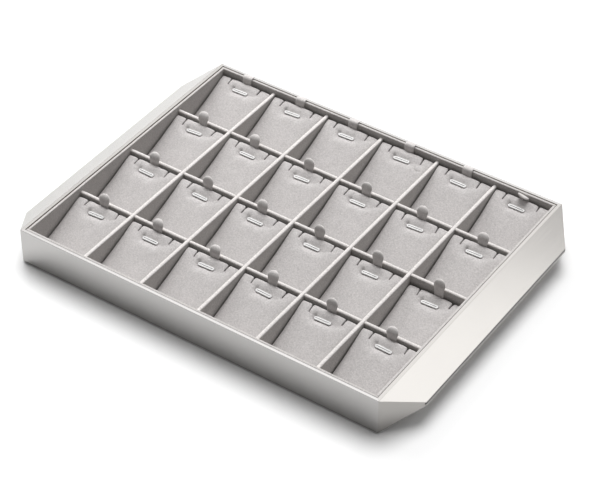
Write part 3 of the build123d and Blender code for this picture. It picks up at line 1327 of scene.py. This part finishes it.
@dataclass
class Compartments:
    """All pads with their tabs and eyelets."""

    rows: int = 4
    columns: int = 6
    low_pads: Mapping[Tuple[int, int], float] = field(
        default_factory=lambda: {(2, 5): 1.5 * MM, (2, 6): 4.5 * MM}
    )
    last_row_lift: float = 1.6 * MM
    forward_tab: Tuple[int, int] = (4, 6)
    upright_tabs: Mapping[int, Sequence[int]] = field(
        default_factory=lambda: {1: (5,), 2: (2, 4, 5, 6), 3: (3, 4)}
    )
    creased_pad: Tuple[int, int] = (4, 4)
    crease_mm: Sequence[Point] = ((11.2, 17.6), (12.4, 15.6), (14.6, 14.6), (17.2, 15.4))
    # One microfibre in lit and shaded copies: the pads take a darker copy than the dividers, with
    # painted shade on upright faces.
    cloth: Microfibre = Microfibre((0.53, 0.507, 0.5), upright=0.45)
    # Painted light: the tabs' cloth is a lighter copy of the pads' cloth.
    lit_tab_cloth: Microfibre = Microfibre((0.66, 0.633, 0.62), tone_spread=0.15)
    plating: PolishedSteel = PolishedSteel((0.67, 0.665, 0.66))

    def _pose(self, row: int, column: int) -> TabPose:
        """How the tab of one compartment lies.

        Args:
            row: Row from the front.
            column: Column from the left.

        Returns:
            The tab's pose.
        """
        if (row, column) == self.forward_tab:
            return TabPose.FORWARD
        if row == self.rows:
            return TabPose.OVER_RIM
        upright = column in self.upright_tabs[row]
        return TabPose.UPRIGHT if upright else TabPose.CURLED

    def _pad(self, row: int, column: int) -> PadCover:
        """Pad of one compartment, with its own height and creases.

        Args:
            row: Row from the front.
            column: Column from the left.

        Returns:
            The pad's cover.
        """
        drop = self.low_pads.get((row, column), 0.0)
        drop -= self.last_row_lift if row == self.rows else 0.0
        line = [(x * MM, y * MM) for x, y in self.crease_mm]
        creased = (row, column) == self.creased_pad
        return PadCover(row, column, drop, creases=list(zip(line, line[1:])) if creased else ())

    def build(self) -> None:
        """Make every compartment's pieces."""
        cloth = self.cloth.material("pad_cloth")
        # Painted light: the tabs get the lighter copy of the cloth.
        lit_tab_cloth = self.lit_tab_cloth.material("lit_tab_cloth")
        plating = self.plating.material("eyelet_plating")
        pads = [
            self._pad(row, column)
            for row in range(1, self.rows + 1)
            for column in range(1, self.columns + 1)
        ]
        inflation = Inflation()
        for pad in pads:
            inflation.add(pad)
        inflation.run()
        grid = pad_grid(pads[0])
        for pad in pads:
            tab = PullTab(pad, self._pose(pad.row, pad.column))
            LOG.info("made %s", pad.build(grid, cloth).name)
            LOG.info("made %s", tab.build(lit_tab_cloth).name)
            LOG.info("made %s", Eyelet(pad).build(plating).name)


# Case and liner


@dataclass
class Case:
    """Sheet steel panels and wings over boards, with felt below."""

    panel_steel: Colour = (0.445, 0.436, 0.428)
    # The wings take a darker, warmer copy of the panels' steel, as painted shade on what they
    # mirror.
    shaded_wing_steel: Colour = (0.4, 0.387, 0.372)
    # Painted dark reflection along the wings' lips.
    painted_lip_band: LipShade = LipShade(reach=174.4 * MM, low=15.5 * MM, high=17.1 * MM)
    board: Fibrous = Fibrous((0.36, 0.27, 0.18), 0.7 * MM, 0.04 * MM)
    felt: Fibrous = Fibrous((0.16, 0.155, 0.15), 0.35 * MM, 0.12 * MM)

    def build(self) -> None:
        """Dress the case's pieces."""
        long_way = BrushedSteel(self.panel_steel, Brushing.ALONG_X).material("steel_along_x")
        wing = BrushedSteel(self.shaded_wing_steel, Brushing.ALONG_Y, lip_shade=self.painted_lip_band)
        short_way = wing.material("steel_along_y")
        board = self.board.material("core_board")
        finishes = {
            "front_panel": long_way,
            "back_panel": long_way,
            "left_wing": short_way,
            "right_wing": short_way,
            "base_board": board,
            "edge_boards": board,
            "wing_cores": board,
            "base_felt": self.felt.material("base_felt"),
        }
        for name, material in finishes.items():
            dress(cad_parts[name], material)
            LOG.info("dressed %s", name)


@dataclass
class Liner:
    """Cloth-wrapped walls, dividers and floor."""

    # One microfibre in lit and shaded copies: the dividers and floor take a lighter copy than the
    # pads, as painted light, and upright faces get painted shade.
    cloth: Microfibre = Microfibre((0.72, 0.69, 0.67), upright=0.66)
    # Painted shade: the walls take a darker copy of the cloth, with more painted shade on their
    # upright faces.
    shaded_wall_cloth: Microfibre = Microfibre((0.56, 0.537, 0.522), upright=0.84)

    def build(self) -> None:
        """Dress the liner's pieces."""
        cloth = self.cloth.material("liner_cloth")
        shaded_wall_cloth = self.shaded_wall_cloth.material("liner_shaded_wall_cloth")
        for name in ("liner_walls", "liner_floor", "column_dividers", "row_dividers"):
            # Painted shade: the walls get the darker copy, the dividers and floor the lighter one.
            dress(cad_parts[name], shaded_wall_cloth if name == "liner_walls" else cloth)
            LOG.info("dressed %s", name)


# Studio


@dataclass(frozen=True)
class Panel:
    """Soft rectangular lamp, with its width and height in metres and its power in watts."""

    name: str
    size: Point
    power: float
    place: Triple
    aim: Triple
    mirrored: bool = True

    def light(self) -> bpy.types.Light:
        """Make the panel's light.

        Returns:
            The light.
        """
        light = bpy.data.lights.new(self.name, "AREA")
        light.shape, light.energy = "RECTANGLE", self.power
        light.size, light.size_y = self.size
        return light


@dataclass
class Studio:
    """Pale floor, soft light and the camera."""

    floor_half: float = 6.0
    floor_lines: int = 13
    floor_albedo: float = 0.78
    floor_seen: float = 0.95
    ambient: float = 0.11
    key_from: Triple = (-0.16, 0.42, 1.0)
    key_energy: float = 2.6
    key_angle: float = 42.0
    panels: Sequence[Panel] = (
        Panel("side_panel", (0.8, 0.6), 5.4, (-0.78, 0.3, 0.52), (0.0, 0.0, 0.02), mirrored=False),
        Panel("wing_panel", (1.0, 1.0), 4.3, (1.157, 0.783, 1.26), (0.1, 0.0, 0.0)),
        Panel("rim_panel", (1.2, 0.8), 3.1, (-0.578, 0.7, 1.273), (0.0, -0.124, 0.03)),
        Panel("back_panel", (0.8, 0.35), 0.7, (-0.75, 1.2, 0.95), (0.0, 0.127, 0.03)),
    )
    lens: float = 126.869
    sensor: float = 36.0
    camera_range: Point = (0.1, 50.0)
    camera_at: Triple = (0.6743, -0.9798, 1.0308)
    camera_turn: float = 34.26
    camera_tilt: float = 49.271
    camera_roll: float = 0.2269

    def _floor(self) -> None:
        """Lay the floor that the tray stands on."""
        line = np.linspace(-self.floor_half, self.floor_half, self.floor_lines)
        x, y = np.meshgrid(line, line)
        points = np.stack([x, y, np.zeros_like(x)], axis=-1).reshape(-1, 3)
        floor = new_piece("studio_floor", points, quads(np.arange(x.size).reshape(x.shape)))
        material = bpy.data.materials.new("studio_floor")
        shader = Shader(material)
        plain, pale = (
            shader.node("ShaderNodeBsdfDiffuse", {}, {"Color": rgba(WHITE, level)})
            for level in (self.floor_albedo, self.floor_seen)
        )
        mixed = shader.node("ShaderNodeMixShader", {}, {0: shader.seen(), 1: plain, 2: pale})
        shader.node("ShaderNodeOutputMaterial", {}, {"Surface": mixed})
        dress(floor, material)

    def _world(self) -> None:
        """Fill the room with even light that the camera sees as white."""
        world = bpy.data.worlds.new("studio")
        shader = Shader(world)
        dim, white = (
            shader.node("ShaderNodeBackground", {}, {"Color": rgba(WHITE), "Strength": strength})
            for strength in (self.ambient, 1.0)
        )
        mixed = shader.node("ShaderNodeMixShader", {}, {0: shader.seen(), 1: dim, 2: white})
        shader.node("ShaderNodeOutputWorld", {}, {"Surface": mixed})
        bpy.context.scene.world = world

    def _hang(self, light: bpy.types.Light, place: Triple, aim: Triple) -> Piece:
        """Hang a lamp.

        Args:
            light: Its light.
            place: Where it hangs.
            aim: What it points at.

        Returns:
            The lamp.
        """
        lamp = bpy.data.objects.new(light.name, light)
        lamp.location = place
        lamp.rotation_euler = (Vector(aim) - Vector(place)).to_track_quat("-Z", "Y").to_euler()
        bpy.context.scene.collection.objects.link(lamp)
        return lamp

    def _lamps(self) -> None:
        """Hang the key light and the soft panels that the right wing and the rims mirror."""
        sun = bpy.data.lights.new("key", "SUN")
        sun.energy, sun.angle = self.key_energy, math.radians(self.key_angle)
        self._hang(sun, self.key_from, (0.0, 0.0, 0.0)).visible_glossy = False
        for panel in self.panels:
            lamp = self._hang(panel.light(), panel.place, panel.aim)
            lamp.visible_glossy = panel.mirrored

    def _camera(self) -> None:
        """Stand the camera where the photograph was taken."""
        data = bpy.data.cameras.new("camera")
        data.lens, data.sensor_width = self.lens, self.sensor
        data.clip_start, data.clip_end = self.camera_range
        camera = bpy.data.objects.new("camera", data)
        place = Matrix.Translation(self.camera_at)
        turns = ((self.camera_turn, "Z"), (self.camera_tilt, "X"), (self.camera_roll, "Z"))
        for angle, axis in turns:
            place = place @ Matrix.Rotation(math.radians(angle), 4, axis)
        camera.matrix_world = place
        bpy.context.scene.collection.objects.link(camera)
        bpy.context.scene.camera = camera

    def build(self) -> None:
        """Set up the studio."""
        bpy.context.scene.view_settings.view_transform = "Standard"
        self._camera()
        self._world()
        self._lamps()
        self._floor()
        LOG.info("made the studio")


def main() -> None:
    """Build the tray's sub-assemblies and the studio."""
    logging.basicConfig(level=logging.INFO, format="%(message)s")
    Studio().build()
    Case().build()
    Liner().build()
    Compartments().build()


if __name__ == "__main__":
    main()
